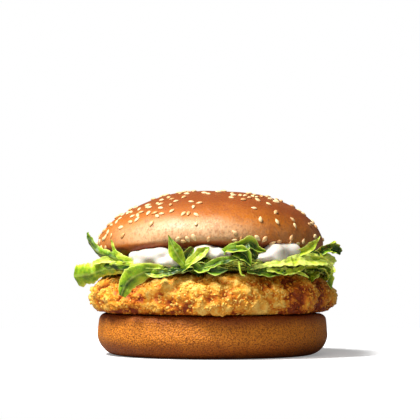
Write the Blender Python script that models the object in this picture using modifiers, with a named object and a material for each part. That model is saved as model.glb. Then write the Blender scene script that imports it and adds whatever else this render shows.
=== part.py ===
"""Chicken burger: heel, breaded patty, lettuce, mayonnaise and crown, stacked on one axis.

Metres, +Z up. The origin is the middle of the heel's flat base, and -Y is the front.
Each layer is a disc between two surfaces: the one it lies on and the one above it.
"""

import math

import bmesh
import bpy
from mathutils import Vector

MM = 0.001
GAP = 0.3 * MM  # left between two layers that touch

# Driving sizes.
HEEL_RADIUS = 50.0 * MM
HEEL_HEIGHT = 18.0 * MM
PATTY_RADIUS = 52.6 * MM
PATTY_THICKNESS = 17.0 * MM
LETTUCE_THICKNESS = 3.6 * MM
SAUCE_THICKNESS = 2.6 * MM
CROWN_RADIUS = 49.2 * MM
DOME_HEIGHT = 24.9 * MM  # above the crown's widest ring

# The heel's side.
HEEL_FOOT_ROUND = 9.0 * MM
HEEL_LIP_ROUND = 2.0 * MM
HEEL_TAPER = 0.5 * MM

# The patty's side, widest at about a third of its height.
PATTY_LOWER_ROUND = 7.0 * MM
PATTY_UPPER_ROUND = 13.5 * MM
PATTY_WAIST = 0.36
PATTY_SPREAD = 0.8 * MM  # how far the side swells past its radius
PATTY_FRONT_BULGE = (266, 24, 1.4 * MM)  # direction, half width, depth
PATTY_ROLLS = 5
PATTY_ROLL_SIZE = 0.7 * MM
PATTY_ROLL_TWIST = 160.0  # radians for each metre of height

# The lettuce and the mayonnaise.
LETTUCE_RADIUS = 49.5 * MM
LETTUCE_RUFFLE = 1.3 * MM
LETTUCE_RUFFLES = 11
STEEPEST_DROOP = 12.0 * MM  # the ruffle fades towards a leaf that hangs this far
TONGUE_ROOT = 46.0 * MM
SAUCE_RADIUS = 41.0 * MM
SAUCE_MARGIN = 1.0 * MM  # the leaves lie flat under the sauce and this far past it

# The crown, whose front rides up on the filling, while its left side droops and its top leans to the right.
CROWN_OFFSET = -1.0 * MM
CROWN_CURL_HEIGHT = 4.5 * MM
CROWN_CURL_DEPTH = 7.2 * MM
CROWN_FRONT_ARCH = 1.2 * MM
ARCH_ON_WIDEST_RING = 0.6
CROWN_DROOP = 2.2 * MM
DROOP_FROM = 12.0 * MM  # to the left of the axis
DROOP_FULL = 38.0 * MM
DROOP_ON_DOME = 0.4  # the share of the droop that the dome keeps
CROWN_SAG = 1.0 * MM
CROWN_LEAN = 0.05  # further sag for each metre to the left
CROWN_MOST_SAG = 2.0 * MM
SAG_FULL = 9.0 * MM  # height above the widest ring where the sag and the dome's share of the droop are whole

# Each layer's top rises towards the front by this much over the heel's radius.
PATTY_SLOPE = 1.0 * MM
LETTUCE_SLOPE = 1.6 * MM
CROWN_SLOPE = 3.0 * MM

# Unevenness of each outline: turns, size, phase in degrees.
PATTY_WAVES = ((2, 0.6 * MM, 10), (3, 0.5 * MM, 140), (7, 0.4 * MM, 60))
LETTUCE_WAVES = ((5, 0.9 * MM, 20), (8, 0.7 * MM, 200), (13, 0.5 * MM, 90))
CROWN_WAVES = ((2, 0.35 * MM, 75), (3, 0.3 * MM, 200), (5, 0.2 * MM, 30))

# Finishes: colour, roughness.
HEEL_FINISH = ((0.45, 0.16, 0.03), 0.6)
PATTY_FINISH = ((0.72, 0.36, 0.06), 0.7)
LETTUCE_FINISH = ((0.25, 0.40, 0.04), 0.45)
SAUCE_FINISH = ((0.85, 0.83, 0.78), 0.3)
CROWN_FINISH = ((0.50, 0.19, 0.04), 0.4)

LOBE_SPREAD = 1.6  # a lobe's or a leaf's stated half width over that of its bump
STEPS = 60
LETTUCE_STEPS = 120
LIP_STEPS = 4  # steps in each round of a profile
FOOT_STEPS = 7
PATTY_UPPER_STEPS = 7
PATTY_LOWER_STEPS = 4
LAYER_EDGE_STEPS = 2
DOME_STEPS = 11
CURL_STEPS = 4
LETTUCE_EDGE = 0.1  # share of a layer's radius that its edge's round takes
SAUCE_EDGE = 0.08
INNER_RINGS = (0.0, 0.4, 0.7, 0.85)  # shares of a layer's radius where its flat faces have points

# Dips in the patty's side: direction in degrees, half width in degrees, depth.
PATTY_DIPS = (
    (230, 13, 2.2 * MM),
    (301, 14, 2.0 * MM),
    (338, 8, 2.6 * MM),
    (22, 15, 1.6 * MM),
    (68, 11, 2.4 * MM),
    (118, 16, 1.8 * MM),
    (158, 10, 2.2 * MM),
    (190, 7, 1.2 * MM),
)

# Leaves that stick out of the bed: direction, half width, reach from the axis, rise of the tip.
LETTUCE_TONGUES = (
    (186, 11, 60.5 * MM, -5.5 * MM),
    (204, 6, 57.5 * MM, 9.0 * MM),
    (223, 8, 57.0 * MM, -11.0 * MM),
    (270, 9, 53.0 * MM, -3.0 * MM),
    (296, 12, 53.5 * MM, -1.0 * MM),
    (335, 8, 55.0 * MM, 8.0 * MM),
    (352, 8, 57.0 * MM, -9.0 * MM),
    (8, 6, 57.5 * MM, 5.0 * MM),
    (40, 12, 56.0 * MM, -3.5 * MM),
    (72, 9, 55.5 * MM, 2.5 * MM),
    (97, 10, 55.5 * MM, -5.0 * MM),
    (128, 11, 56.5 * MM, 1.5 * MM),
    (158, 10, 56.5 * MM, -6.5 * MM),
)

# Lobes of mayonnaise at the edge: direction, half width, reach from the axis.
SAUCE_LOBES = (
    (240, 15, 50.5 * MM),
    (270, 10, 48.5 * MM),
    (307, 17, 50.5 * MM),
    (20, 16, 47.0 * MM),
    (75, 20, 46.0 * MM),
    (140, 18, 47.5 * MM),
)


def bump(angle, centre_deg, half_width_deg):
    """1 at a direction, falling smoothly to 0 at twice the half width away from it."""
    away = abs((math.degrees(angle) - centre_deg + 180) % 360 - 180)
    share = min(1.0, away / (2 * half_width_deg))
    return 0.5 + 0.5 * math.cos(math.pi * share)


def smooth(value, low, high):
    """0 below low and 1 above high, with a smooth rise between."""
    share = min(1.0, max(0.0, (value - low) / (high - low)))
    return share * share * (3 - 2 * share)


def waves(angle, terms):
    """A ring's unevenness, as the sum of (turns, size, phase in degrees)."""
    return sum(size * math.cos(turns * angle - math.radians(phase)) for turns, size, phase in terms)


def front_share(y):
    """+1 at the heel's front edge and -1 at its back edge."""
    return -y / HEEL_RADIUS


def patty_top(y):
    """Height of the patty's flat top."""
    return HEEL_HEIGHT + GAP + PATTY_THICKNESS + PATTY_SLOPE * front_share(y)


def lettuce_top(y):
    """Height of the lettuce bed's top."""
    rise = (LETTUCE_SLOPE - PATTY_SLOPE) * front_share(y)
    return patty_top(y) + GAP + LETTUCE_THICKNESS + rise


def crown_arch(y):
    """How far the filling lifts the crown's edge at the front."""
    forward = max(0.0, front_share(y))
    return CROWN_FRONT_ARCH * min(1.0, forward) ** 2


def crown_droop(x, y):
    """How far the crown's edge droops on the left, less and less towards the back."""
    return CROWN_DROOP * smooth(-x, DROOP_FROM, DROOP_FULL) * min(1.0, max(0.0, 1 + front_share(y)))


def crown_base(x, y):
    """Height of the crown's cut face."""
    level = lettuce_top(0) + 2 * GAP + SAUCE_THICKNESS
    return level + CROWN_SLOPE * front_share(y) + crown_arch(y) - crown_droop(x, y)


def sauce_outline(angle):
    """How far the mayonnaise reaches from the axis."""
    return SAUCE_RADIUS + sum(
        bump(angle, centre, width / LOBE_SPREAD) * (reach - SAUCE_RADIUS)
        for centre, width, reach in SAUCE_LOBES
    )


def quarter(count):
    """Angles of a quarter turn, both ends included."""
    return [math.pi / 2 * i / count for i in range(count + 1)]


def turned(name, profile, steps):
    """An object whose profile of (radius, height) points turns about Z. The profile runs from top to bottom."""
    bm = bmesh.new()
    points = [bm.verts.new((radius, 0.0, height)) for radius, height in profile]
    for above, below in zip(points, points[1:]):
        bm.edges.new((above, below))
    mesh = bpy.data.meshes.new(name)
    bm.to_mesh(mesh)
    bm.free()
    obj = bpy.data.objects.new(name, mesh)
    burger.objects.link(obj)
    screw = obj.modifiers.new("turn", "SCREW")
    screw.axis = "Z"
    screw.angle = 2 * math.pi
    screw.steps = steps
    screw.render_steps = steps
    screw.use_merge_vertices = True
    screw.merge_threshold = 0.01 * MM
    return obj


def shaped(obj, place):
    """Makes the turned shape a mesh and puts each of its points where place(angle, radius, height) says."""
    bpy.context.view_layer.update()
    graph = bpy.context.evaluated_depsgraph_get()
    mesh = bpy.data.meshes.new_from_object(obj.evaluated_get(graph))
    obj.modifiers.clear()
    obj.data = mesh
    for vertex in mesh.vertices:
        x, y, z = vertex.co
        vertex.co = place(math.atan2(y, x) % (2 * math.pi), math.hypot(x, y), z)
    return obj


def polar(angle, radius):
    """X and Y of a point."""
    return radius * math.cos(angle), radius * math.sin(angle)


def finish(obj, colour, roughness):
    """Gives a piece its material and smooth shading."""
    material = bpy.data.materials.new(obj.name)
    material.use_nodes = True
    shader = material.node_tree.nodes["Principled BSDF"]
    shader.inputs["Base Color"].default_value = (*colour, 1.0)
    shader.inputs["Roughness"].default_value = roughness
    shader.inputs["Metallic"].default_value = 0.0
    obj.data.materials.append(material)
    obj.data.shade_smooth()
    return obj


def heel():
    """The bottom half of the bun: a flat base, a round foot, a nearly upright side and a crisp lip."""
    lip_centre = (HEEL_RADIUS - HEEL_TAPER - HEEL_LIP_ROUND, HEEL_HEIGHT - HEEL_LIP_ROUND)
    foot_centre = (HEEL_RADIUS - HEEL_FOOT_ROUND, HEEL_FOOT_ROUND)
    profile = [(0.0, HEEL_HEIGHT)]
    profile += [
        (lip_centre[0] + HEEL_LIP_ROUND * math.sin(a), lip_centre[1] + HEEL_LIP_ROUND * math.cos(a))
        for a in quarter(LIP_STEPS)
    ]
    profile += [
        (foot_centre[0] + HEEL_FOOT_ROUND * math.cos(a), foot_centre[1] - HEEL_FOOT_ROUND * math.sin(a))
        for a in quarter(FOOT_STEPS)
    ]
    profile += [(0.0, 0.0)]
    return finish(turned("heel", profile, STEPS), *HEEL_FINISH)


def patty():
    """The breaded chicken: a thick disc with a bulging, dented side."""
    waist = PATTY_THICKNESS * PATTY_WAIST
    profile = [(0.0, PATTY_THICKNESS)]
    profile += [
        (
            PATTY_RADIUS - PATTY_UPPER_ROUND * (1 - math.sin(a)),
            waist + (PATTY_THICKNESS - waist) * math.cos(a),
        )
        for a in quarter(PATTY_UPPER_STEPS)
    ]
    profile += [
        (PATTY_RADIUS - PATTY_LOWER_ROUND * (1 - math.cos(a)), waist * (1 - math.sin(a)))
        for a in quarter(PATTY_LOWER_STEPS)[1:]
    ]
    profile += [(0.0, 0.0)]
    flat_radius = PATTY_RADIUS - PATTY_UPPER_ROUND

    def place(angle, radius, height):
        outward = max(0.0, (radius - flat_radius) / PATTY_UPPER_ROUND)
        dent = sum(depth * bump(angle, centre, width) for centre, width, depth in PATTY_DIPS)
        centre, width, depth = PATTY_FRONT_BULGE
        swell = PATTY_SPREAD + depth * bump(angle, centre, width) + waves(angle, PATTY_WAVES)
        rolled = PATTY_ROLL_SIZE * math.cos(PATTY_ROLLS * angle + PATTY_ROLL_TWIST * (height - waist))
        x, y = polar(angle, radius + outward * (swell + rolled - dent))
        rise = PATTY_SLOPE * front_share(y) * height / PATTY_THICKNESS
        return Vector((x, y, HEEL_HEIGHT + GAP + height + rise))

    return finish(shaped(turned("patty", profile, STEPS), place), *PATTY_FINISH)


def layer_profile(rounding):
    """A disc of radius 1 and height 1 whose edge is rounded over this share of its radius."""
    upper = quarter(LAYER_EDGE_STEPS)
    lower = [math.pi - a for a in reversed(upper[:-1])]
    edge = [(1 - rounding * (1 - math.sin(a)), 0.5 + 0.5 * math.cos(a)) for a in upper + lower]
    top = [(share, 1.0) for share in INNER_RINGS]
    return top + edge + [(share, 0.0) for share in reversed(INNER_RINGS)]


def lettuce():
    """The bed of shredded lettuce out to its uneven outline, with the leaves that stick out of it."""

    def place(angle, share, level):
        outline = LETTUCE_RADIUS + waves(angle, LETTUCE_WAVES)
        rise = 0.0
        for centre, width, reach, tip_rise in LETTUCE_TONGUES:
            part = bump(angle, centre, width / LOBE_SPREAD)
            outline += part * (reach - LETTUCE_RADIUS)
            rise += part * tip_rise
        radius = share * outline
        x, y = polar(angle, radius)
        root = max(TONGUE_ROOT, sauce_outline(angle) + SAUCE_MARGIN)
        outward = max(0.0, (radius - root) / max(outline - root, SAUCE_MARGIN))
        under = patty_top(y) + GAP
        height = under + level * (lettuce_top(y) - under)
        raised = 0.5 * max(0.0, 1 + rise / STEEPEST_DROOP)
        ruffle = LETTUCE_RUFFLE * raised * abs(math.sin(LETTUCE_RUFFLES * angle))
        return Vector((x, y, height + outward**2 * (rise + ruffle)))

    piece = shaped(turned("lettuce", layer_profile(LETTUCE_EDGE), LETTUCE_STEPS), place)
    return finish(piece, *LETTUCE_FINISH)


def mayonnaise():
    """The sauce between lettuce and crown, a wedge that is thick at the front, with lobes at its edge."""

    def place(angle, share, level):
        x, y = polar(angle, share * sauce_outline(angle))
        under = lettuce_top(y) + GAP
        over = crown_base(x, y) - GAP
        return Vector((x, y, under + level * (over - under)))

    piece = shaped(turned("mayonnaise", layer_profile(SAUCE_EDGE), STEPS), place)
    return finish(piece, *SAUCE_FINISH)


def crown():
    """The top half of the bun: a low dome whose edge curls in under it to the cut face."""
    dome = [(CROWN_RADIUS * math.sin(a), DOME_HEIGHT * math.cos(a)) for a in quarter(DOME_STEPS)]
    curl = [
        (CROWN_RADIUS - CROWN_CURL_DEPTH * (1 - math.cos(a)), -CROWN_CURL_HEIGHT * math.sin(a))
        for a in quarter(CURL_STEPS)[1:]
    ]
    cut_radius = CROWN_RADIUS - CROWN_CURL_DEPTH
    cut_face = [(share * cut_radius, -CROWN_CURL_HEIGHT) for share in reversed(INNER_RINGS)]
    profile = dome + curl + cut_face
    widest_ring = crown_base(0, 0) + CROWN_CURL_HEIGHT

    def place(angle, radius, height):
        x, y = polar(angle, radius + radius / CROWN_RADIUS * waves(angle, CROWN_WAVES))
        x += CROWN_OFFSET
        arch, droop = crown_arch(y), crown_droop(x, y)
        if height >= 0:
            lift = height + ARCH_ON_WIDEST_RING * arch * (1 - height / DOME_HEIGHT)
        else:
            curled = height / -CROWN_CURL_HEIGHT
            lift = height + arch * (ARCH_ON_WIDEST_RING + (1 - ARCH_ON_WIDEST_RING) * curled)
        up = smooth(height, 0.0, SAG_FULL)
        sag = up * min(CROWN_MOST_SAG, max(0.0, CROWN_SAG - CROWN_LEAN * x))
        drop = sag + droop * (1 - (1 - DROOP_ON_DOME) * up)
        return Vector((x, y, widest_ring + CROWN_SLOPE * front_share(y) + lift - drop))

    return finish(shaped(turned("crown", profile, STEPS), place), *CROWN_FINISH)


for leftover in list(bpy.data.objects):
    bpy.data.objects.remove(leftover)
burger = bpy.data.collections.new("chicken_burger")
bpy.context.scene.collection.children.link(burger)
heel()
patty()
lettuce()
mayonnaise()
crown()
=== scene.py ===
"""The looks of a chicken burger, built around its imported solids.

Shapes are worked out in millimetres, in the frame of the solids: +Z up, -Y the front, the axis through the
middle of the heel. Each finished piece is turned to metres, with its place in its mesh.
"""

from __future__ import annotations

import logging
import math
import random
from dataclasses import dataclass
from enum import Enum
from typing import Callable, Iterable, Sequence, Union

import bmesh
import bpy
from mathutils import Matrix, Vector, noise
from mathutils.bvhtree import BVHTree

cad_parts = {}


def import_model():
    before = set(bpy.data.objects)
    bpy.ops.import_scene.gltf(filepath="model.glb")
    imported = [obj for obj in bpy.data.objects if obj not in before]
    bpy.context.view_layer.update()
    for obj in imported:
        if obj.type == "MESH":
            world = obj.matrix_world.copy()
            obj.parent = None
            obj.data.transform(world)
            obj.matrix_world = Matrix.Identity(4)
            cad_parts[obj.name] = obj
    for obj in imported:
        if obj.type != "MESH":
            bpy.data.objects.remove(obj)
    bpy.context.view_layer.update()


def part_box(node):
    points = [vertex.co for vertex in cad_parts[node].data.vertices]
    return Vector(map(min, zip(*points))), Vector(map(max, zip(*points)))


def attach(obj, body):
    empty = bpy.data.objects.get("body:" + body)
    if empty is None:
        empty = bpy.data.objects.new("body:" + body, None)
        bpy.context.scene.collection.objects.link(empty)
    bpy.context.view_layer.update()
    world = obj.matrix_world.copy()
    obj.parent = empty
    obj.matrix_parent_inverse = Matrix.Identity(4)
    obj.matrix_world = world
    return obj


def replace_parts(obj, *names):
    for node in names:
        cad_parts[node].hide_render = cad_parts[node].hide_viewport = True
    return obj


LOG = logging.getLogger("burger")
MM = 0.001
GOLDEN_ANGLE = 137.5
BODY = "root"

Colour = tuple[float, float, float]
Triple = tuple[float, float, float]
Place = Callable[[float, float, float], Vector]


# --------------------------------------------------------------------------------------------------
# Small shape rules
# --------------------------------------------------------------------------------------------------


def srgb(red: float, green: float, blue: float) -> Colour:
    """Turn a colour of 0 to 255 as seen on a screen into the linear values that a shader takes."""

    def channel(value: float) -> float:
        """Turn one channel."""
        share = value / 255
        return share / 12.92 if share <= 0.04045 else ((share + 0.055) / 1.055) ** 2.4

    return channel(red), channel(green), channel(blue)


def smooth(value: float, low: float, high: float) -> float:
    """Rise smoothly from 0 at low to 1 at high."""
    share = min(1.0, max(0.0, (value - low) / (high - low)))
    return share * share * (3 - 2 * share)


def bump_at(angle: float, centre: float, half_width: float) -> float:
    """Return how near a direction is to a centre.

    Args:
        angle: The direction, in radians.
        centre: The centre's direction, in degrees.
        half_width: Where the result is a half, in degrees from the centre.

    Returns:
        1 at the centre, falling smoothly to 0 at twice the half width.
    """
    away = abs((math.degrees(angle) - centre + 180) % 360 - 180)
    return 0.5 + 0.5 * math.cos(math.pi * min(1.0, away / (2 * half_width)))


def bumps(angle: float, places: Iterable[Triple]) -> float:
    """Add up smooth bumps, each given as its centre and half width in degrees and its height."""
    return sum(height * bump_at(angle, centre, half_width) for centre, half_width, height in places)


def waved(angle: float, waves: Iterable[Triple]) -> float:
    """Add up waves round the axis, each given as its count, its height and its phase in degrees."""
    return sum(height * math.cos(count * angle - math.radians(phase)) for count, height, phase in waves)


def polar(angle: float, reach: float, height: float) -> Triple:
    """Return the point in a direction, at a distance from the axis and at a height."""
    return reach * math.cos(angle), reach * math.sin(angle), height


def seated(spot: Vector, normal: Vector, spin: float) -> Matrix:
    """Return the matrix that stands a shape at a spot along its normal, turned about it by spin."""
    upright = normal.to_track_quat("Z", "Y").to_matrix().to_4x4()
    return Matrix.Translation(spot) @ upright @ Matrix.Rotation(spin, 4, "Z")


def quarter(count: int) -> list[float]:
    """Return the angles of a quarter turn in count steps, both ends included."""
    return [math.pi / 2 * step / count for step in range(count + 1)]


def along(points: Sequence[Vector], share: float) -> Vector:
    """Return the point at a share of a smooth curve through the points.

    Args:
        points: The points that the curve passes through.
        share: 0 at the first point and 1 at the last.

    Returns:
        The point on the Catmull-Rom curve.
    """
    spans = len(points) - 1
    place = min(spans - 1e-9, max(0.0, share * spans))
    start = int(place)
    part = place - start
    before = points[start - 1] if start > 0 else 2 * points[0] - points[1]
    after = points[start + 2] if start + 2 <= spans else 2 * points[spans] - points[spans - 1]
    first, second = points[start], points[start + 1]
    return 0.5 * (
        2 * first
        + (second - before) * part
        + (2 * before - 5 * first + 4 * second - after) * part**2
        + (3 * first - before - 3 * second + after) * part**3
    )


# --------------------------------------------------------------------------------------------------
# Shader maths
# --------------------------------------------------------------------------------------------------


class Value:
    """A shader socket on which Python's arithmetic adds Math nodes."""

    def __init__(self, board: "Board", socket: bpy.types.NodeSocket) -> None:
        """Wrap a socket of a board."""
        self.board = board
        self.socket = socket

    def __add__(self, other: "Operand") -> "Value":
        """Return self + other."""
        return self.board.maths("ADD", self, other)

    __radd__ = __add__

    def __mul__(self, other: "Operand") -> "Value":
        """Return self * other."""
        return self.board.maths("MULTIPLY", self, other)

    __rmul__ = __mul__

    def __sub__(self, other: "Operand") -> "Value":
        """Return self - other."""
        return self.board.maths("SUBTRACT", self, other)

    def __rsub__(self, other: "Operand") -> "Value":
        """Return other - self."""
        return self.board.maths("SUBTRACT", other, self)

    def swing(self, size: float) -> "Value":
        """Return noise of 0 to 1 as a change of up to half the size either way."""
        return (self - 0.5) * size


Operand = Union[Value, float, Colour]


class Board:
    """The node tree of one material, which every finish draws on."""

    def __init__(self, name: str) -> None:
        """Start an empty material with this name."""
        self.material = bpy.data.materials.new(name)
        self.material.use_nodes = True
        self.tree = self.material.node_tree
        self.tree.nodes.clear()
        self.place = self.out("ShaderNodeTexCoord", "Object")

    def node(self, kind: str, settings: dict, inputs: dict) -> bpy.types.Node:
        """Add a node.

        Args:
            kind: The node's type.
            settings: Its attributes, set before its sockets. "stops" is a ramp's list of (place, colour).
            inputs: A value or a link for each socket, by name or number.

        Returns:
            The new node.
        """
        made = self.tree.nodes.new(kind)
        for key, setting in settings.items():
            if key == "stops":
                self._set_stops(made.color_ramp, setting)
            else:
                setattr(made, key, setting)
        for key, given in inputs.items():
            if isinstance(given, Value):
                self.tree.links.new(given.socket, made.inputs[key])
            else:
                made.inputs[key].default_value = self._padded(made.inputs[key], given)
        return made

    @staticmethod
    def _set_stops(ramp: bpy.types.ColorRamp, stops: Sequence[tuple[float, Colour]]) -> None:
        """Give a ramp its stops, in rising order."""
        while len(ramp.elements) < len(stops):
            ramp.elements.new(1.0)
        for element, (position, colour) in zip(ramp.elements, stops):
            element.position = position
            element.color = (*colour, 1.0)

    @staticmethod
    def _padded(socket: bpy.types.NodeSocket, given: Operand) -> Operand:
        """Add the alpha that a colour socket needs."""
        return (*given, 1.0) if socket.type == "RGBA" and len(given) == 3 else given

    def out(
        self, kind: str, output: Union[str, int] = 0, settings: dict | None = None, **inputs: Operand
    ) -> Value:
        """Add a node and return one of its outputs. An input's name has _ for a space."""
        named = {key.replace("_", " "): given for key, given in inputs.items()}
        return Value(self, self.node(kind, settings or {}, named).outputs[output])

    def maths(self, operation: str, *operands: Operand) -> Value:
        """Add a Math node on one or more operands."""
        made = self.node("ShaderNodeMath", {"operation": operation}, dict(enumerate(operands)))
        return Value(self, made.outputs[0])

    def step(self, value: Value, low: float, high: float, start: float = 0.0, end: float = 1.0) -> Value:
        """Map a value smoothly from low..high to start..end."""
        return self.out(
            "ShaderNodeMapRange",
            settings={"interpolation_type": "SMOOTHSTEP"},
            Value=value,
            From_Min=low,
            From_Max=high,
            To_Min=start,
            To_Max=end,
        )

    def mix(self, factor: Operand, first: Operand, second: Operand) -> Value:
        """Mix two colours."""
        made = self.node("ShaderNodeMix", {"data_type": "RGBA"}, {0: factor, 6: first, 7: second})
        return Value(self, made.outputs[2])

    def ramp(self, factor: Value, stops: Sequence[tuple[float, Colour]]) -> Value:
        """Turn a factor into a colour through a ramp."""
        return self.out("ShaderNodeValToRGB", settings={"stops": stops}, Fac=factor)

    def axis(self, name: str) -> Value:
        """Return the object coordinate along one axis, in metres."""
        return self.out("ShaderNodeSeparateXYZ", name, Vector=self.place)

    def stretched(self, scale: Triple) -> Value:
        """Return the object coordinates, scaled."""
        return self.out("ShaderNodeMapping", Vector=self.place, Scale=scale)

    def grain(
        self, size: float, detail: float = 3.0, place: Value | None = None, roughness: float = 0.5
    ) -> Value:
        """Return smooth noise of 0 to 1 whose lumps are about size millimetres across."""
        return self.out(
            "ShaderNodeTexNoise",
            Vector=place or self.place,
            Scale=1 / (size * MM),
            Detail=detail,
            Roughness=roughness,
        )

    def cells(self, size: float) -> Value:
        """Return the distance to the nearest of points that lie about size millimetres apart."""
        return self.out("ShaderNodeTexVoronoi", Vector=self.place, Scale=1 / (size * MM))

    def bump(self, height: Value, strength: float, distance: float, below: Value | None = None) -> Value:
        """Add a bump of a height in millimetres on top of another."""
        inputs = {"Height": height, "Strength": strength, "Distance": distance * MM}
        if below is not None:
            inputs["Normal"] = below
        return Value(self, self.node("ShaderNodeBump", {}, inputs).outputs[0])

    def attribute(self, name: str) -> Value:
        """Return a number stored on the mesh."""
        return self.out("ShaderNodeAttribute", "Fac", {"attribute_name": name})

    def surface(self, inputs: dict) -> bpy.types.Material:
        """Close the material with a Principled shader."""
        shader = self.node("ShaderNodeBsdfPrincipled", {}, inputs)
        self.node("ShaderNodeOutputMaterial", {}, {"Surface": Value(self, shader.outputs[0])})
        return self.material


# --------------------------------------------------------------------------------------------------
# Finishes
# --------------------------------------------------------------------------------------------------


@dataclass(frozen=True)
class CrownCrust:
    """Glazed crust: deep brown on the dome, browner where it curls under, pale where it browned least.

    The pale band is made strongest on the front left, as a painted highlight. The crust also darkens a little
    towards +X, up to right_shade_span millimetres from the axis, as painted shade away from the light.
    """

    deep: Colour = srgb(140, 66, 8)
    warm: Colour = srgb(190, 106, 20)
    pale: Colour = srgb(218, 172, 124)
    curl: Colour = srgb(126, 50, 5)
    burnt: Colour = srgb(116, 44, 2)
    right_shade_span: float = 45.0

    def material(self) -> bpy.types.Material:
        """Make the crust. The mesh stores how pale it is, with its painted highlight, and its rise from the
        cut face to the top.
        """
        board = Board("crown_crust")
        # Painted shade: the crust darkens towards +X, on the side away from the light.
        right_shade = board.step(board.axis("X"), 0.0, self.right_shade_span * MM)
        pale = board.attribute("pale")
        patches = board.grain(11, 4.0, roughness=0.6)
        mottle = board.grain(1.3, 5.0, roughness=0.65)
        fine = board.grain(0.45, 3.0)
        wrinkles = board.grain(0.9, 3.0, board.stretched((1.0, 1.0, 0.4)))
        share = board.attribute("rise") * (right_shade * 0.35 + 1.0) + patches.swing(0.3)
        stops = ((0.02, self.curl), (0.13, self.warm), (0.5, self.warm), (0.85, self.deep))
        risen_and_shaded = board.ramp(share, stops)
        baked_and_shaded = board.mix(right_shade * 0.1, risen_and_shaded, self.curl)
        # The pale band, with a painted highlight where it is strongest, on the front left.
        pale_and_highlight = board.step(pale + mottle.swing(0.5) + patches.swing(0.5), 0.1, 0.95)
        lightened = board.mix(pale_and_highlight, baked_and_shaded, self.pale)
        creased = board.mix(board.step(wrinkles, 0.5, 0.66) * pale_and_highlight * 0.35, lightened, self.warm)
        clouds = board.step(board.grain(4.5, 4.0, roughness=0.6), 0.5, 0.72)
        clouded = board.mix(clouds * 0.45, creased, self.deep)
        speckled = board.mix(board.step(mottle, 0.48, 0.7) * 0.5, clouded, self.burnt)
        flecked = board.mix(board.step(fine, 0.55, 0.75) * 0.15, speckled, self.pale)
        wrinkled = board.bump(wrinkles, 0.45, 0.35)
        skin = board.bump(mottle, 0.5, 0.35, board.bump(fine, 0.2, 0.15, wrinkled))
        return board.surface(
            {
                "Base Color": flecked,
                "Roughness": board.step(mottle, 0.3, 0.7, 0.42, 0.6),
                "Normal": board.bump(board.grain(4.0, 3.0), 0.25, 0.6, skin),
                "Specular IOR Level": 0.35,
                "Coat Weight": 0.08,
                "Coat Roughness": 0.3,
                "Subsurface Weight": 0.05,
                "Subsurface Scale": 0.0015,
            }
        )


@dataclass(frozen=True)
class HeelCrust:
    """Matt, finely dimpled crust of the heel: darker towards the bottom, and darkened along the top as
    painted shade under the patty.
    """

    light: Colour = srgb(222, 132, 30)
    tan: Colour = srgb(186, 98, 14)
    # Foot is used at the bottom, and along the top as painted shade under the patty.
    foot: Colour = srgb(136, 62, 8)
    pit: Colour = srgb(104, 44, 4)

    def material(self, height: float) -> bpy.types.Material:
        """Make the crust for a heel of this height, in millimetres."""
        board = Board("heel_crust")
        share = board.axis("Z") * (1 / (height * MM)) + board.grain(9, 2.0).swing(0.25)
        side = ((0.2, self.tan), (0.45, self.light), (0.7, self.light))
        # Darker towards the bottom and lightest at mid-height; the top stop is painted shade under the patty.
        baked_and_shaded = board.ramp(share, ((0.0, self.foot), *side, (0.95, self.foot)))
        dimples = board.cells(0.85)
        speckle = board.grain(0.55, 4.0, roughness=0.65)
        pitted = board.mix(board.step(speckle, 0.45, 0.6) * 0.75, baked_and_shaded, self.pit)
        fine = board.bump(dimples, 0.8, 0.4)
        return board.surface(
            {
                "Base Color": pitted,
                "Roughness": 0.58,
                "Specular IOR Level": 0.3,
                "Normal": board.bump(speckle, 0.7, 0.35, fine),
                "Subsurface Weight": 0.05,
                "Subsurface Scale": 0.0015,
            }
        )


@dataclass(frozen=True)
class CutCrumb:
    """Lightly toasted crumb of a cut face."""

    crumb: Colour = srgb(240, 208, 158)
    toast: Colour = srgb(196, 128, 66)

    def material(self) -> bpy.types.Material:
        """Make the crumb."""
        board = Board("cut_crumb")
        patches = board.step(board.grain(6, 3.0), 0.35, 0.65)
        pores = board.cells(1.4)
        shade = board.mix(patches * 0.7, self.crumb, self.toast)
        return board.surface(
            {
                "Base Color": board.mix(board.step(pores, 0.25, 0.0) * 0.4, shade, self.toast),
                "Roughness": 0.8,
                "Normal": board.bump(board.grain(0.8, 4.0), 0.4, 0.4, board.bump(pores, 0.6, 0.6)),
            }
        )


@dataclass(frozen=True)
class Breading:
    """Fried breading: golden on its lumps and orange brown between them, partly painted highlight and shade.

    It is darker where it fried hardest, and as painted shade in its dips, along its lower edge and, in part,
    on its right side.
    """

    light: Colour = srgb(252, 202, 98)
    gold: Colour = srgb(240, 162, 42)
    orange: Colour = srgb(216, 112, 18)
    brown: Colour = srgb(142, 54, 8)
    pepper: Colour = srgb(48, 26, 14)

    def material(self) -> bpy.types.Material:
        """Make the breading. The mesh stores how far each point stands out and how dark it fried, painted
        shade included.
        """
        board = Board("fried_breading")
        relief = board.attribute("relief")
        browned_and_shaded = board.attribute("browned_and_shaded")
        blotch = board.grain(7, 4.0, roughness=0.6)
        fine = board.grain(0.9, 5.0, roughness=0.65)
        # Lumps are lighter and hollows darker: painted highlight and painted shade over the breading's own
        # colours.
        level = relief * 0.75 + blotch * 0.6 + fine * 0.7 - browned_and_shaded * 0.62 - 0.33
        stops = ((0.0, self.brown), (0.25, self.orange), (0.5, self.gold), (0.82, self.light))
        baked_and_shaded = board.ramp(level, stops)
        peppered = board.mix(board.step(board.cells(6.5), 0.075, 0.045), baked_and_shaded, self.pepper)
        crisp = board.bump(board.grain(0.45, 3.0), 0.5, 0.35)
        return board.surface(
            {
                "Base Color": peppered,
                "Roughness": board.step(fine, 0.35, 0.7, 0.45, 0.7),
                "Specular IOR Level": 0.3,
                "Normal": board.bump(board.cells(0.8), 0.4, 0.3, crisp),
                "Subsurface Weight": 0.06,
                "Subsurface Scale": 0.0015,
            }
        )


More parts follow.
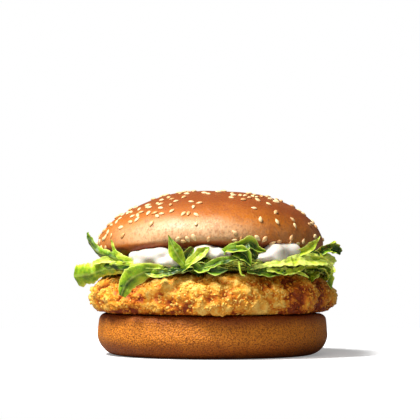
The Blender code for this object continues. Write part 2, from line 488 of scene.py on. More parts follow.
@dataclass(frozen=True)
class LeafSkin:
    """Crisp lettuce: a pale rib, a green blade with fine veins and a light cut edge."""

    rib: Colour = srgb(226, 236, 116)
    light: Colour = srgb(192, 210, 48)
    fresh: Colour = srgb(124, 164, 20)
    deep: Colour = srgb(30, 68, 5)
    edge: Colour = srgb(222, 236, 108)
    veins: float = 0.25

    def material(self) -> bpy.types.Material:
        """Make the leaf.

        Its UV map runs across each leaf (U, 0 to 1) and along it (V, in centimetres). The mesh stores its
        tone, from 0 for pale to 1 for dark green; it holds painted shade in the folds and painted highlight
        on the crests.
        """
        board = Board("lettuce_leaf")
        layout = board.out("ShaderNodeUVMap", 0, {"uv_map": "leaf"})
        parts = board.node("ShaderNodeSeparateXYZ", {}, {"Vector": layout})
        across, length = Value(board, parts.outputs["X"]), Value(board, parts.outputs["Y"])
        from_rib = board.maths("ABSOLUTE", across * 2 - 1)
        tone = board.attribute("tone")
        cloud = board.grain(2.6, 4.0)
        sheet = board.out("ShaderNodeCombineXYZ", X=across * 3, Y=length * 1.2)
        streaks = board.out("ShaderNodeTexNoise", Vector=sheet, Scale=3.0, Detail=3.0)
        stops = ((0.0, self.rib), (0.25, self.light), (0.55, self.fresh), (0.95, self.deep))
        blade = board.ramp(tone + cloud.swing(0.45) + streaks.swing(0.5), stops)
        bent = length * 30 - from_rib * 7 + cloud * 14
        broken = board.step(board.grain(2.0, 2.0), 0.42, 0.6)
        veins = board.step(board.maths("ABSOLUTE", board.maths("SINE", bent)), 0.2, 0.0) * broken
        rib = board.step(from_rib + cloud.swing(0.12), 0.16, 0.02)
        lines = board.maths("MAXIMUM", veins * self.veins, rib * 0.35)
        ribbed = board.mix(lines * (1 - tone * 0.35), blade, self.rib)
        cut = board.step(from_rib + cloud.swing(0.16), 0.84, 0.97)
        crinkle = board.bump(board.grain(1.1, 3.0), 0.3, 0.4)
        return board.surface(
            {
                "Base Color": board.mix(cut * (1 - tone * 0.75), ribbed, self.edge),
                "Roughness": board.step(cloud, 0.3, 0.7, 0.34, 0.52),
                "Specular IOR Level": 0.35,
                "Normal": board.bump(lines, 0.35, 0.3, crinkle),
                "Subsurface Weight": 0.15,
                "Subsurface Scale": 0.001,
            }
        )


@dataclass(frozen=True)
class Sauce:
    """Thick, glossy mayonnaise."""

    cream: Colour = srgb(225, 220, 211)
    warm: Colour = srgb(216, 206, 188)

    def material(self) -> bpy.types.Material:
        """Make the sauce."""
        board = Board("mayonnaise")
        cloud = board.grain(5, 2.0)
        return board.surface(
            {
                "Base Color": board.mix(board.step(cloud, 0.35, 0.7), self.cream, self.warm),
                "Roughness": board.step(board.grain(3, 2.0), 0.3, 0.7, 0.2, 0.34),
                "Normal": board.bump(board.grain(2.5, 2.0), 0.08, 0.3),
                "Subsurface Weight": 0.2,
                "Subsurface Scale": 0.003,
            }
        )


@dataclass(frozen=True)
class SeedSkin:
    """Hulled sesame seed, toasted a little more on some than on others."""

    cream: Colour = srgb(240, 210, 156)
    toasted: Colour = srgb(212, 154, 88)

    def material(self) -> bpy.types.Material:
        """Make the seed. The mesh stores each seed's toast."""
        board = Board("sesame_seed")
        toast = board.attribute("toast")
        return board.surface(
            {
                "Base Color": board.mix(toast + board.grain(0.8, 2.0).swing(0.4), self.cream, self.toasted),
                "Roughness": 0.4,
                "Subsurface Weight": 0.1,
                "Subsurface Scale": 0.001,
            }
        )


# --------------------------------------------------------------------------------------------------
# Mesh tools
# --------------------------------------------------------------------------------------------------


class Mould:
    """Makes bmeshes and turns them into finished pieces."""

    @staticmethod
    def turned(profile: Sequence[tuple[float, float]], steps: int) -> bmesh.types.BMesh:
        """Wrap a grid into a turned shape.

        Args:
            profile: The side as (radius, height) points, from the top's middle to the base's middle.
            steps: How many steps go round.

        Returns:
            The closed shape.
        """
        bm = bmesh.new()
        rings = len(profile) - 1
        bmesh.ops.create_grid(bm, x_segments=steps, y_segments=rings, size=1.0)
        for vertex in bm.verts:
            angle = math.tau * (round((vertex.co.x + 1) / 2 * steps) % steps) / steps
            radius, height = profile[round((vertex.co.y + 1) / 2 * rings)]
            vertex.co = polar(angle, radius, height)
        bmesh.ops.remove_doubles(bm, verts=bm.verts, dist=1e-4)
        bmesh.ops.recalc_face_normals(bm, faces=bm.faces)
        return bm

    @staticmethod
    def copies(bm: bmesh.types.BMesh, count: int) -> list[Sequence[bmesh.types.BMVert]]:
        """Copy the one shape in a bmesh, at first in place.

        Args:
            bm: The bmesh.
            count: How many there are in the end.

        Returns:
            The points of each copy.
        """
        packed = bpy.data.meshes.new("one")
        bm.to_mesh(packed)
        bm.clear()
        bm.from_mesh(packed)
        bpy.data.meshes.remove(packed)
        points, faces, made = len(bm.verts), len(bm.faces), 1
        while made < count:
            more = min(made, count - made)
            bm.verts.ensure_lookup_table()
            bm.faces.ensure_lookup_table()
            bmesh.ops.duplicate(bm, geom=bm.verts[: more * points] + bm.faces[: more * faces])
            made += more
        bm.verts.ensure_lookup_table()
        return [bm.verts[number * points : (number + 1) * points] for number in range(count)]

    @staticmethod
    def placed(bm: bmesh.types.BMesh, place: Place) -> None:
        """Move each point to where place(angle, radius, height) says."""
        for vertex in bm.verts:
            x, y, z = vertex.co
            vertex.co = place(math.atan2(y, x) % math.tau, math.hypot(x, y), z)
        bm.normal_update()

    @staticmethod
    def piece(
        name: str, bm: bmesh.types.BMesh, materials: Iterable[bpy.types.Material], slot: str
    ) -> bpy.types.Object:
        """Turn a bmesh in millimetres into a smooth piece in metres that rides on the burger.

        Args:
            name: The piece's name.
            bm: The shape, which is freed.
            materials: Its materials, in the order of the faces' numbers.
            slot: Not used.

        Returns:
            The piece.
        """
        mesh = bpy.data.meshes.new(name)
        bm.to_mesh(mesh)
        bm.free()
        mesh.transform(Matrix.Scale(MM, 4))
        for material in materials:
            mesh.materials.append(material)
        mesh.shade_smooth()
        made = bpy.data.objects.new(name, mesh)
        bpy.context.scene.collection.objects.link(made)
        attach(made, BODY)
        LOG.info("%s: %d faces", name, len(mesh.polygons))
        return made

    @staticmethod
    def evaluated(made: bpy.types.Object) -> bmesh.types.BMesh:
        """Return a piece's shape with its modifiers, in millimetres, and remove the piece."""
        bpy.context.view_layer.update()
        graph = bpy.context.evaluated_depsgraph_get()
        mesh = bpy.data.meshes.new_from_object(made.evaluated_get(graph))
        bpy.data.objects.remove(made)
        mesh.transform(Matrix.Scale(1 / MM, 4))
        bm = bmesh.new()
        bm.from_mesh(mesh)
        bpy.data.meshes.remove(mesh)
        return bm


# --------------------------------------------------------------------------------------------------
# The burger's layers
# --------------------------------------------------------------------------------------------------


@dataclass
class Stack:
    """The heights and radii that the layers share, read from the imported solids."""

    heel_radius: float
    heel_height: float
    patty_base: float
    patty_top: float

    @classmethod
    def measured(cls) -> "Stack":
        """Read the solids' boxes."""
        heel_low, heel_high = (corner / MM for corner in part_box("heel"))
        patty_low, patty_high = (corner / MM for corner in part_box("patty"))
        return cls(
            heel_radius=(heel_high.x - heel_low.x) / 2,
            heel_height=heel_high.z,
            patty_base=patty_low.z,
            patty_top=patty_high.z,
        )

    def front(self, y: float) -> float:
        """Return 1 at the heel's front edge and -1 at its back edge."""
        return -y / self.heel_radius


@dataclass
class Heel:
    """The bottom half of the bun."""

    stack: Stack
    foot_round: float = 9.0
    lip_round: float = 3.2
    taper: float = 0.5
    crumb_radius: float = 43.5
    crumb_depth: float = 1.1
    pore_depth: float = 0.3
    uneven_from: float = 40.0
    uneven_to: float = 48.0
    steps: int = 256
    face_rings: int = 24
    base_rings: int = 10
    side_rings: int = 8

    def profile(self) -> list[tuple[float, float]]:
        """Return the side as (radius, height) points from the top's middle to the base's middle."""
        radius, height = self.stack.heel_radius, self.stack.heel_height
        lip = (radius - self.taper - self.lip_round, height - self.lip_round)
        foot = (radius - self.foot_round, self.foot_round)
        points = [(lip[0] * ring / self.face_rings, height) for ring in range(self.face_rings)]
        for a in quarter(8):
            points.append((lip[0] + self.lip_round * math.sin(a), lip[1] + self.lip_round * math.cos(a)))
        for ring in range(1, self.side_rings):
            inset = self.taper * (1 - ring / self.side_rings)
            points.append((radius - inset, lip[1] + (foot[1] - lip[1]) * ring / self.side_rings))
        for a in quarter(16):
            points.append((foot[0] + self.foot_round * math.cos(a), foot[1] - self.foot_round * math.sin(a)))
        return points + [(foot[0] * ring / self.base_rings, 0.0) for ring in reversed(range(self.base_rings))]

    def build(self) -> bpy.types.Object:
        """Build the heel, with a soft, slightly uneven side and an open crumb on top."""
        bm = Mould.turned(self.profile(), self.steps)
        height = self.stack.heel_height
        for vertex in bm.verts:
            spot = vertex.co
            reach = math.hypot(spot.x, spot.y)
            side = smooth(reach, self.uneven_from, self.uneven_to) * smooth(spot.z, 0.0, 3.0)
            soft = noise.noise(spot / 17) * 0.45 + noise.noise(spot / 6) * 0.16
            vertex.co += vertex.normal * (soft - 0.2) * side
            if spot.z > height - 0.5:
                vertex.co.z += min(0.0, noise.noise(spot / 1.6) * self.pore_depth)
        for face in bm.faces:
            middle = face.calc_center_median()
            inside = math.hypot(middle.x, middle.y) < self.crumb_radius
            face.material_index = int(inside and middle.z > height - self.crumb_depth)
        skins = (HeelCrust().material(height), CutCrumb().material())
        made = Mould.piece("bun_heel", bm, skins, "heel_crust")
        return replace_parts(made, "heel")


@dataclass
class Patty:
    """The breaded chicken, with a craggy crust.

    Dips, dark and shaded sides and the front bulge are (direction in degrees, half width in degrees, depth,
    darkness or height), and waves are (count, height, phase in degrees). The dips are darkened as painted
    shade, and the dark sides on the right are partly painted shade.
    """

    stack: Stack
    radius: float = 52.6
    lower_round: float = 7.0
    upper_round: float = 13.5
    waist: float = 0.36
    thickness: float = 17.0
    slope: float = 1.0
    steps: int = 560
    seat: float = 0.3
    swell: float = 0.8
    waves: tuple[Triple, ...] = ((2, 0.6, 10), (3, 0.5, 140), (7, 0.4, 60))
    front_bulge: Triple = (266, 24, 1.4)
    rolled: float = 0.7
    roll_count: int = 5
    roll_twist: float = 0.16
    heel_edge: float = 50.6
    hang: float = 2.1
    dice_seed: int = 41
    crumb_count: int = 3000
    crumb_size: tuple[float, float] = (0.2, 0.62)
    dark_and_shaded_sides: tuple[Triple, ...] = ((314, 6, 0.75), (335, 10, 0.42), (215, 9, 0.3), (120, 15, 0.85))
    gold_side: float = 296.0
    gold_half_width: float = 7.0
    dips: tuple[Triple, ...] = (
        (230, 13, 2.2),
        (301, 14, 2.0),
        (338, 8, 2.6),
        (22, 15, 1.6),
        (68, 11, 2.4),
        (118, 16, 1.8),
        (158, 10, 2.2),
        (190, 7, 1.2),
    )

    def profile(self) -> list[tuple[float, float]]:
        """Return the side as (radius, height) points, close together where the breading shows."""
        waist = self.thickness * self.waist
        flat = self.radius - self.upper_round
        points = [(flat * ring / 12, self.thickness) for ring in range(12)]
        for a in quarter(44):
            rise = waist + (self.thickness - waist) * math.cos(a)
            points.append((flat + self.upper_round * math.sin(a), rise))
        for a in quarter(24)[1:]:
            points.append((self.radius - self.lower_round * (1 - math.cos(a)), waist * (1 - math.sin(a))))
        return points + [((self.radius - self.lower_round) * ring / 12, 0.0) for ring in range(11, -1, -1)]

    def place(self, angle: float, radius: float, height: float) -> Vector:
        """Dent and roll the side as the solid's is."""
        outward = max(0.0, (radius - self.radius + self.upper_round) / self.upper_round)
        dent, bulge = bumps(angle, self.dips), bumps(angle, (self.front_bulge,))
        twist = self.roll_twist * (height - self.thickness * self.waist)
        rolled = self.rolled * math.cos(self.roll_count * angle + twist)
        reach = radius + outward * (waved(angle, self.waves) + rolled + bulge - dent + self.swell)
        x, y, base = polar(angle, reach, self.stack.heel_height + self.seat)
        rise = self.slope * self.stack.front(y) * height / self.thickness
        return Vector((x, y, base + height + rise))

    @staticmethod
    def crags(spot: Vector) -> float:
        """Return how far the breading stands out at a point, from about -1 to 1 mm."""
        lumps = noise.fractal(Vector((spot.x, spot.y, spot.z * 1.6)) / 9, 1.0, 2.0, 2) * 0.95
        crust = noise.turbulence(spot / 3.4, 4, False) * 0.95 - 0.43
        near = noise.voronoi(spot / 1.2)[0][0]
        return lumps + crust + (0.42 - near) * 0.85

    def build(self) -> list[bpy.types.Object]:
        """Build the patty and the loose crumbs on it."""
        bm = Mould.turned(self.profile(), self.steps)
        Mould.placed(bm, self.place)
        relief = bm.verts.layers.float.new("relief")
        browned_and_shaded = bm.verts.layers.float.new("browned_and_shaded")
        base = self.stack.heel_height + self.seat
        for vertex in bm.verts:
            spot = vertex.co.copy()
            reach = math.hypot(spot.x, spot.y)
            shown = smooth(reach, 36, 42)
            if shown == 0.0:
                continue
            craggy = self.crags(spot) * shown
            off_heel = smooth(spot.z, base, base + 1.2) + smooth(reach, self.heel_edge, self.heel_edge + 0.8)
            vertex.co += vertex.normal * craggy * min(1.0, off_heel)
            vertex.co.z -= self.overhang(spot, reach)
            vertex[relief] = 0.5 + 0.5 * craggy
            vertex[browned_and_shaded] = self.browning_and_shade(spot)
        bm.normal_update()
        tree = BVHTree.FromBMesh(bm)
        finish = Breading().material()
        body = Mould.piece("chicken_patty", bm, (finish,), "fried_breading")
        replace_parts(body, "patty")
        return [body, self.crumbs(tree, finish)]

    def overhang(self, spot: Vector, reach: float) -> float:
        """Return how far the lower edge hangs outside the heel, in uneven tags at the front and back."""
        base = self.stack.patty_base
        low = 1 - smooth(spot.z, base + 0.5, base + 7.0)
        outside = smooth(reach, self.heel_edge, self.heel_edge + 1.2)
        ragged = 0.75 + 0.7 * noise.noise(Vector((spot.x, spot.y, 0.0)) / 2.6)
        return self.hang * low * outside * min(1.2, max(0.0, ragged)) * abs(spot.y) / reach

    def browning_and_shade(self, spot: Vector) -> float:
        """Return how dark the breading is at a point, from 0 to 1: where it fried darker, plus painted shade
        in the dips, along the lower edge and, in part, on the right side.
        """
        angle = math.atan2(spot.y, spot.x) % math.tau
        # Painted shade in the dips.
        valley = sum(bump_at(angle, centre, width * 0.6) * depth / 2.6 for centre, width, depth in self.dips)
        # Sides that fried darker; those on the right are partly painted shade.
        dark_side_and_shade = bumps(angle, self.dark_and_shaded_sides)
        # Painted shade along the lower edge, which curls under.
        low = 1 - smooth(spot.z, self.stack.patty_base, self.stack.patty_base + 3.5)
        gold = bump_at(angle, self.gold_side, self.gold_half_width)
        patch = 0.35 * noise.noise(spot / 6) + 0.25 * noise.noise(spot / 2.2)
        return min(1.0, max(0.0, 0.4 * valley + dark_side_and_shade + 0.5 * low + patch - 1.3 * gold))

    def crumbs(self, tree: BVHTree, finish: bpy.types.Material) -> bpy.types.Object:
        """Scatter crumbs of fried breading over the side."""
        dice = random.Random(self.dice_seed)
        bm = bmesh.new()
        relief = bm.verts.layers.float.new("relief")
        browned_and_shaded = bm.verts.layers.float.new("browned_and_shaded")
        bmesh.ops.create_icosphere(bm, subdivisions=1, radius=1.0)
        for crumb in Mould.copies(bm, self.crumb_count):
            angle = dice.uniform(0, math.tau)
            height = self.stack.patty_base + dice.uniform(0.2, 16.5)
            out = Vector((math.cos(angle), math.sin(angle), 0.0))
            hit, normal, _, _ = tree.ray_cast(out * 80 + Vector((0, 0, height)), -out)
            size = dice.uniform(*self.crumb_size)
            stretch = Matrix.Diagonal((size * dice.uniform(0.8, 1.8), size, size * 0.7, 1.0))
            place = seated(hit, normal, dice.uniform(0, math.tau)) @ stretch
            pale = dice.uniform(0.3, 0.85)
            dark = self.browning_and_shade(hit)
            for vertex in crumb:
                vertex.co = place @ (vertex.co * (1 + dice.uniform(-0.3, 0.3)))
                vertex[relief] = pale
                vertex[browned_and_shaded] = dark
        return Mould.piece("breading_crumbs", bm, (finish,), "fried_breading")


@dataclass
class Crown:
    """The top half of the bun and its seeds.

    Waves are (count, height, phase in degrees). Pale sides are (direction and half width in degrees, share);
    the strongest, on the front left, is a painted highlight.
    The pale band is the heights above the cut face where it starts, is full, starts to fade and is gone.
    """

    stack: Stack
    radius: float = 49.2
    dome: float = 24.9
    curl_height: float = 4.5
    curl_depth: float = 7.2
    arch: float = 1.2
    arch_on_ring: float = 0.6
    offset: float = -1.0
    base: float = 42.4
    droop: float = 2.2
    droop_on_dome: float = 0.4
    sag: float = 1.1
    slope: float = 3.0
    waves: tuple[Triple, ...] = ((2, 0.35, 75), (3, 0.3, 200), (5, 0.2, 30))
    pale_sides_and_highlight: tuple[Triple, Triple] = ((254, 28, 1.0), (90, 50, 0.45))
    pale_band: tuple[float, float, float, float] = (0.9, 3.6, 6.4, 17.5)
    steps: int = 288
    dome_steps: int = 84
    face_rings: int = 24

    def profile(self) -> list[tuple[float, float]]:
        """Return the dome, the curl and the cut face as (radius, height above the widest ring) points."""
        points = [(self.radius * math.sin(a), self.dome * math.cos(a)) for a in quarter(self.dome_steps)]
        for a in quarter(16)[1:]:
            inset = self.curl_depth * (1 - math.cos(a))
            points.append((self.radius - inset, -self.curl_height * math.sin(a)))
        cut = self.radius - self.curl_depth
        rings = reversed(range(self.face_rings))
        return points + [(cut * ring / self.face_rings, -self.curl_height) for ring in rings]

    def place(self, angle: float, radius: float, height: float) -> Vector:
        """Tip the crown back, lift its front edge and let its left droop as the solid's does."""
        reach = radius + waved(angle, self.waves) * radius / self.radius
        x, y = reach * math.cos(angle) + self.offset, reach * math.sin(angle)
        front = self.stack.front(y)
        arch = self.arch * min(1.0, max(0.0, front)) ** 2
        droop = self.droop * smooth(-x, 12, 38) * min(1.0, max(0.0, 1 + front))
        if height >= 0:
            lift = height + self.arch_on_ring * arch * (1 - height / self.dome)
        else:
            lift = height + arch * (self.arch_on_ring - (1 - self.arch_on_ring) * height / self.curl_height)
        up = smooth(height, 0.0, 9.0)
        sag = up * self.sag * (1 - smooth(x, 0.0, 28.0))
        drop = sag + droop * (1 - (1 - self.droop_on_dome) * up)
        return Vector((x, y, self.base + self.curl_height + self.slope * front + lift - drop))

    def above_edge(self, spot: Vector) -> float:
        """Return how far a point lies above the cut face beside it, in millimetres."""
        front = self.stack.front(spot.y)
        return spot.z - self.base - self.slope * front - self.arch * max(0.0, front) ** 2

    def paleness_and_highlight(self, spot: Vector) -> float:
        """Return how pale the crust is at a point, from 0 to about 1: most low on the front's left, which is
        a painted highlight.
        """
        angle = math.atan2(spot.y, spot.x) % math.tau
        sides = max(share * bump_at(angle, centre, width) for centre, width, share in self.pale_sides_and_highlight)
        height = self.above_edge(spot)
        low, full, fading, gone = self.pale_band
        band = smooth(height, low, full) * (1 - smooth(height, fading, gone))
        return band * (0.3 + 0.75 * sides)

    def skin(self, angle: float, down: float) -> Vector:
        """Return a point of the crust. Down is 0 at the top, 1 at the widest ring and 2 at the cut."""
        lean = math.pi / 2 * min(1.0, down)
        under = math.pi / 2 * max(0.0, down - 1)
        radius = self.radius * math.sin(lean) - self.curl_depth * (1 - math.cos(under))
        return self.place(angle, radius, self.dome * math.cos(lean) - self.curl_height * math.sin(under))

    def build(self) -> list[bpy.types.Object]:
        """Build the crown and its seeds."""
        bm = Mould.turned(self.profile(), self.steps)
        cut_height = -self.curl_height + 0.01
        cut = [face for face in bm.faces if all(vertex.co.z < cut_height for vertex in face.verts)]
        for face in cut:
            face.material_index = 1
        Mould.placed(bm, self.place)
        pale = bm.verts.layers.float.new("pale")
        rise = bm.verts.layers.float.new("rise")
        for vertex in bm.verts:
            spot = vertex.co
            soft = noise.noise(spot / 19) * 0.5 + noise.noise(spot / 7) * 0.22
            soft += noise.noise(spot / 2.4) * 0.05
            vertex[pale] = self.paleness_and_highlight(spot)
            vertex[rise] = self.above_edge(spot) / self.dome
            vertex.co += vertex.normal * (soft - 0.25)
        bm.normal_update()
        tree = BVHTree.FromBMesh(bm)
        crust = CrownCrust().material()
        made = Mould.piece("bun_crown", bm, (crust, CutCrumb().material()), "crown_crust")
        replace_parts(made, "crown")
        return [made, Seeds(self, tree).build()]


@dataclass(frozen=True)
class SeedBand:
    """A patch of the crown with its share of seeds.

    Centre and half width are degrees round the axis. Inner and outer run down the side: 0 is the middle of
    the top, 1 the widest ring and 2 the edge of the cut face.
    """

    centre: float
    half_width: float
    inner: float
    outer: float
    count: int


@dataclass
class Seeds:
    """Sesame seeds pressed into the crown."""

    crown: Crown
    tree: BVHTree
    length: float = 3.1
    width: float = 1.8
    thickness: float = 1.1
    apart: float = 2.0
    stand_out: float = 0.2
    dice_seed: int = 7
    bands: tuple[SeedBand, ...] = (
        SeedBand(0, 180, 0.05, 0.42, 60),
        SeedBand(90, 110, 0.35, 0.85, 76),
        SeedBand(222, 26, 0.4, 0.68, 26),
        SeedBand(214, 14, 0.68, 0.9, 9),
        SeedBand(258, 12, 0.4, 0.66, 8),
        SeedBand(262, 9, 0.66, 0.84, 4),
        SeedBand(310, 26, 0.38, 0.6, 12),
        SeedBand(312, 18, 0.6, 0.84, 6),
        SeedBand(270, 16, 1.0, 1.35, 14),
        SeedBand(302, 22, 0.94, 1.4, 16),
        SeedBand(314, 16, 0.98, 1.25, 9),
        SeedBand(228, 22, 0.5, 0.8, 12),
        SeedBand(196, 12, 0.75, 1.1, 8),
        SeedBand(345, 15, 0.5, 0.95, 6),
    )

    def build(self) -> bpy.types.Object:
        """Scatter the seeds over their bands."""
        dice = random.Random(self.dice_seed)
        spots = self.spots(dice)
        bm = bmesh.new()
        toast = bm.verts.layers.float.new("toast")
        bmesh.ops.create_uvsphere(bm, u_segments=10, v_segments=7, radius=0.5)
        for seed, (spot, normal) in zip(Mould.copies(bm, len(spots)), spots):
            size = dice.uniform(0.85, 1.12)
            shade = dice.random() ** 2
            seat = seated(spot + normal * self.stand_out, normal, dice.uniform(0, math.tau))
            seat = seat @ Matrix.Rotation(dice.gauss(0, 0.1), 4, "Y")
            for vertex in seed:
                vertex.co = seat @ (self.drop(vertex.co) * size)
                vertex[toast] = shade
        return Mould.piece("sesame_seeds", bm, (SeedSkin().material(),), "sesame_seed")

    def spots(self, dice: random.Random) -> list[tuple[Vector, Vector]]:
        """Return a place and the crust's normal there for each seed, none too near another."""
        found: list[tuple[Vector, Vector]] = []
        for band in self.bands:
            for _ in range(band.count):
                angle = math.radians(band.centre + band.half_width * dice.uniform(-1, 1))
                down = math.sqrt(dice.uniform(band.inner**2, band.outer**2))
                spot, normal, _, _ = self.tree.find_nearest(self.crown.skin(angle, down))
                if all((spot - other).length > self.apart for other, _ in found):
                    found.append((spot, normal))
        return found

    def drop(self, point: Vector) -> Vector:
        """Turn a point of a ball into that of a flat drop, pointed at one end."""
        taper = 1 - 0.55 * smooth(point.x, 0.0, 0.5)
        return Vector((point.x * self.length, point.y * self.width * taper, point.z * self.thickness * taper))


@dataclass(frozen=True)
class Dollop:
    """A lump of sauce: its place across and up, its distance from the axis and its half sizes."""

    across: float
    up: float
    distance: float
    wide: float
    deep: float
    tall: float

    def matrix(self) -> Matrix:
        """Return the lump's place, turn and stretch."""
        forward = math.sqrt(self.distance**2 - self.across**2)
        turn = math.atan2(-forward, self.across)
        spot = Matrix.Translation((self.across, -forward, self.up))
        return spot @ Matrix.Rotation(turn, 4, "Z") @ Matrix.Diagonal((self.deep, self.wide, self.tall, 1.0))


@dataclass
class Mayonnaise:
    """The sauce: a thin bed with lumps that swell out from under the crown.

    Around lists the lumps of the sides and the back as (direction in degrees, distance, half width).
    """

    voxel: float = 0.5
    relax_steps: int = 30
    bed_radius: float = 40.5
    bed_depth: float = 2.6
    bed_rise: float = 40.3
    bed_tilt: float = 3.0
    around: tuple[Triple, ...] = ((20, 42.0, 8.0), (75, 41.0, 9.0), (140, 42.5, 8.0), (178, 41.0, 6.0))
    around_slope: float = 1.6
    around_depth: float = 5.0
    around_height: float = 2.4
    left: tuple[Dollop, ...] = (
        Dollop(-25.6, 42.4, 47.5, 7.6, 5.2, 3.8),
        Dollop(-31.0, 42.4, 46.8, 4.2, 4.4, 3.4),
        Dollop(-21.2, 43.6, 46.8, 4.6, 4.6, 3.0),
        Dollop(-28.4, 39.6, 48.3, 4.8, 4.6, 2.6),
        Dollop(-15.4, 40.3, 48.4, 4.4, 4.0, 2.8),
        Dollop(-20.0, 39.6, 48.0, 4.4, 4.0, 2.2),
    )
    middle: tuple[Dollop, ...] = (
        Dollop(-3.2, 44.8, 46.0, 5.0, 4.8, 2.4),
        Dollop(2.4, 43.2, 46.8, 5.4, 4.6, 2.8),
        Dollop(-6.2, 43.0, 46.0, 3.0, 4.4, 2.2),
    )
    right: tuple[Dollop, ...] = (
        Dollop(20.8, 41.8, 47.5, 4.6, 4.4, 2.4),
        Dollop(25.4, 43.8, 47.2, 4.6, 5.0, 4.2),
        Dollop(32.0, 44.6, 46.8, 5.0, 4.8, 3.7),
        Dollop(28.6, 44.6, 46.2, 5.0, 4.2, 3.6),
        Dollop(26.6, 41.4, 47.9, 5.6, 4.4, 2.4),
    )

    def build(self) -> bpy.types.Object:
        """Join the bed and the lumps into one soft surface."""
        bm = bmesh.new()
        tilt = Matrix.Rotation(math.radians(self.bed_tilt), 4, "X")
        bmesh.ops.create_cone(
            bm,
            cap_ends=True,
            segments=64,
            radius1=self.bed_radius,
            radius2=self.bed_radius - 1.0,
            depth=self.bed_depth,
            matrix=Matrix.Translation((0.0, 0.0, self.bed_rise)) @ tilt,
        )
        places = [lump.matrix() for lump in self.left + self.middle + self.right]
        for direction, distance, wide in self.around:
            angle = math.radians(direction)
            height = self.bed_rise + 0.4 - self.around_slope * math.sin(angle)
            spot = Matrix.Rotation(angle, 4, "Z") @ Matrix.Translation((distance, 0.0, height))
            places.append(spot @ Matrix.Diagonal((self.around_depth, wide, self.around_height, 1.0)))
        for matrix in places:
            bmesh.ops.create_uvsphere(bm, u_segments=32, v_segments=18, radius=1.0, matrix=matrix)
        rough = Mould.piece("sauce_rough", bm, (), "mayonnaise")
        remesh = rough.modifiers.new("join", "REMESH")
        remesh.mode = "VOXEL"
        remesh.voxel_size = self.voxel * MM
        relax = rough.modifiers.new("relax", "SMOOTH")
        relax.factor = 0.6
        relax.iterations = self.relax_steps
        bm = Mould.evaluated(rough)
        bm.normal_update()
        for vertex in bm.verts:
            spot = vertex.co
            flattened = Vector((spot.x, spot.y, spot.z * 0.6))
            folds = 1 - abs(noise.noise(flattened / 8 + Vector((3.0, 0, 0)))) * 2
            vertex.co += vertex.normal * (folds * 0.5 - 0.3 + noise.noise(spot / 3) * 0.1)
        made = Mould.piece("mayonnaise_sauce", bm, (Sauce().material(),), "mayonnaise")
        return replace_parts(made, "mayonnaise")


class Tone(Enum):
    """How green a leaf is."""

    PALE = 0.0
    LIGHT = 0.3
    MILD = 0.43
    FRESH = 0.55
    RICH = 0.72
    DEEP = 0.9


@dataclass(frozen=True)
class Leaf:
    """A strip of lettuce.

    The path's points are (across, depth, height above the patty) in millimetres, from root to tip. Roll is
    how the blade turns about the path at root and tip in degrees, 0 being flat and 90 on edge. Cup curls its
    sides, ruffle waves its edges and fray tears them. Widest is where the full width lies, as a share of the
    length, and the root and tip shares are the width at each end. Tip round is how far the tip closes.
    """

    path: tuple[Triple, ...]
    width: float
    roll: tuple[float, float] = (0.0, 0.0)
    cup: float = 0.3
    ruffle: float = 0.6
    tone: Tone = Tone.FRESH
    root_share: float = 0.8
    tip_share: float = 0.5
    widest: float = 0.45
    tip_round: float = 0.85
    fray: float = 0.3
    thickness: float = 0.32


